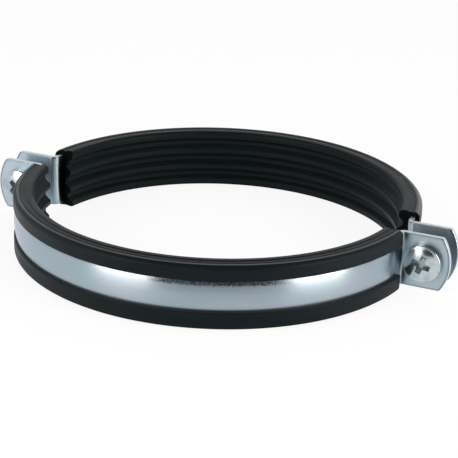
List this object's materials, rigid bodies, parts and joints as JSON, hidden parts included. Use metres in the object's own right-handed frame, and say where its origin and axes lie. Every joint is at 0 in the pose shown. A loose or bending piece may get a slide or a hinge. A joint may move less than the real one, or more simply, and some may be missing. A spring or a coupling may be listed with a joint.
{
  "type": "rubber lined pipe clamp",
  "caption": "Split steel pipe clamp with a ribbed black rubber lining, closed by a screw through each pair of ears, with a threaded connection nut at the back.",
  "frame": {"origin": "centre of the pipe bore, half way along the clamp's width", "axes": "+Z along the pipe, +Y from the bore to the connection nut at the back, +X through the right-hand ears"},
  "size_m": [0.1848, 0.1588, 0.0236],
  "materials": {
    "zinc_plated_strip": "bright zinc plated, satin",
    "zinc_plated_screw": "bright zinc plated, cold headed",
    "black_rubber": "extruded, matte with a faint sheen"
  },
  "bodies": {
    "rear_half": {"rear_band": "zinc_plated_strip", "rear_lining": "black_rubber", "left_nut": "zinc_plated_screw", "right_nut": "zinc_plated_screw", "connection_nut": "zinc_plated_screw"},
    "front_half": {"front_band": "zinc_plated_strip", "front_lining": "black_rubber"},
    "left_screw": {"left_screw": "zinc_plated_screw"},
    "right_screw": {"right_screw": "zinc_plated_screw"}
  },
  "joints": [
    {"name": "clamp_closing", "type": "slide", "parent": "rear_half", "child": "front_half", "axis": [0, 1, 0], "range_m": [-0.012, 0.008]},
    {"name": "left_screw_turn", "type": "hinge", "parent": "front_half", "child": "left_screw", "pos_m": [-0.0828, 0, 0], "axis": [0, 1, 0], "range_deg": [-4320, 2880]},
    {"name": "right_screw_turn", "type": "hinge", "parent": "front_half", "child": "right_screw", "pos_m": [0.0828, 0, 0], "axis": [0, 1, 0], "range_deg": [-4320, 2880]}
  ],
  "couplings": [
    {"joint": "left_screw_turn", "follows": "clamp_closing", "rad_per_m": 6283.2},
    {"joint": "right_screw_turn", "follows": "clamp_closing", "rad_per_m": 6283.2}
  ]
}
